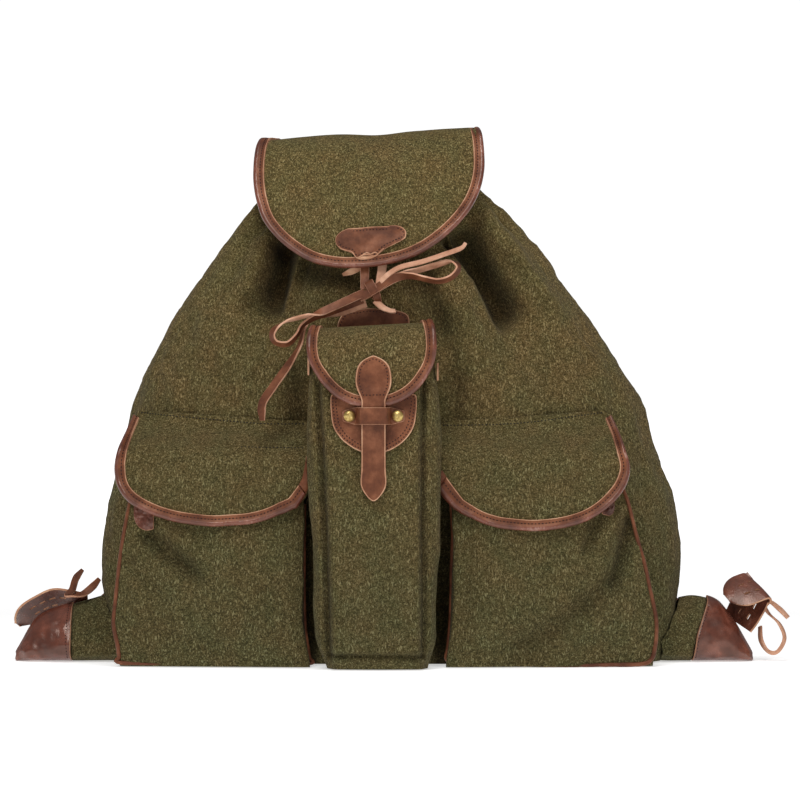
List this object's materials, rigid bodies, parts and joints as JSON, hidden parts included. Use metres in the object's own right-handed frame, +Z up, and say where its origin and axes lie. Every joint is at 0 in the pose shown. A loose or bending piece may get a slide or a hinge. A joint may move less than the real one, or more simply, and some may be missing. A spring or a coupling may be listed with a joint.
{
  "type": "loden rucksack",
  "caption": "Hunting rucksack of green-brown loden with leather trim: a gathered sack under a lid, with a tall centre pocket, side pockets and laced corner tabs.",
  "frame": {"origin": "on the ground under the middle of the sack", "axes": "+Z up, -Y out of the front with the pockets, +X to the right of a person who looks at the front"},
  "size_m": [0.6845, 0.3128, 0.4673],
  "materials": {
    "loden": "matt",
    "leather": "satin",
    "lace": "matt",
    "brass": "satin"
  },
  "bodies": {
    "root": {"sack": "loden", "corner_wing_left": "loden", "corner_wing_right": "loden", "top_flap": "loden", "centre_pocket": "loden", "centre_flap": "loden", "side_pocket_left": "loden", "side_pocket_right": "loden", "side_flap_left": "loden", "side_flap_right": "loden", "corner_cap_left": "leather", "corner_cap_right": "leather", "corner_tab_left": "leather", "corner_tab_right": "leather", "shoulder_strap_left": "leather", "shoulder_strap_right": "leather", "strap_yoke": "leather", "top_flap_binding": "leather", "flap_patch": "leather", "front_patch": "leather", "centre_flap_binding": "leather", "mouth_tab_left": "leather", "mouth_tab_right": "leather", "closure_patch": "leather", "closure_strap": "leather", "closure_keeper": "leather", "side_piping_left": "leather", "side_piping_right": "leather", "side_flap_binding_left": "leather", "side_flap_binding_right": "leather", "side_tab_left": "leather", "side_tab_right": "leather", "drawstring": "lace", "riser_left": "lace", "riser_right": "lace", "bow_knot": "lace", "bow_loop_left": "lace", "bow_loop_right": "lace", "bow_tail_left": "lace", "bow_tail_right": "lace", "bow_short_end": "lace", "corner_lace_left": "lace", "corner_lace_right": "lace", "rivet_left": "brass", "rivet_right": "brass"}
  },
  "joints": []
}
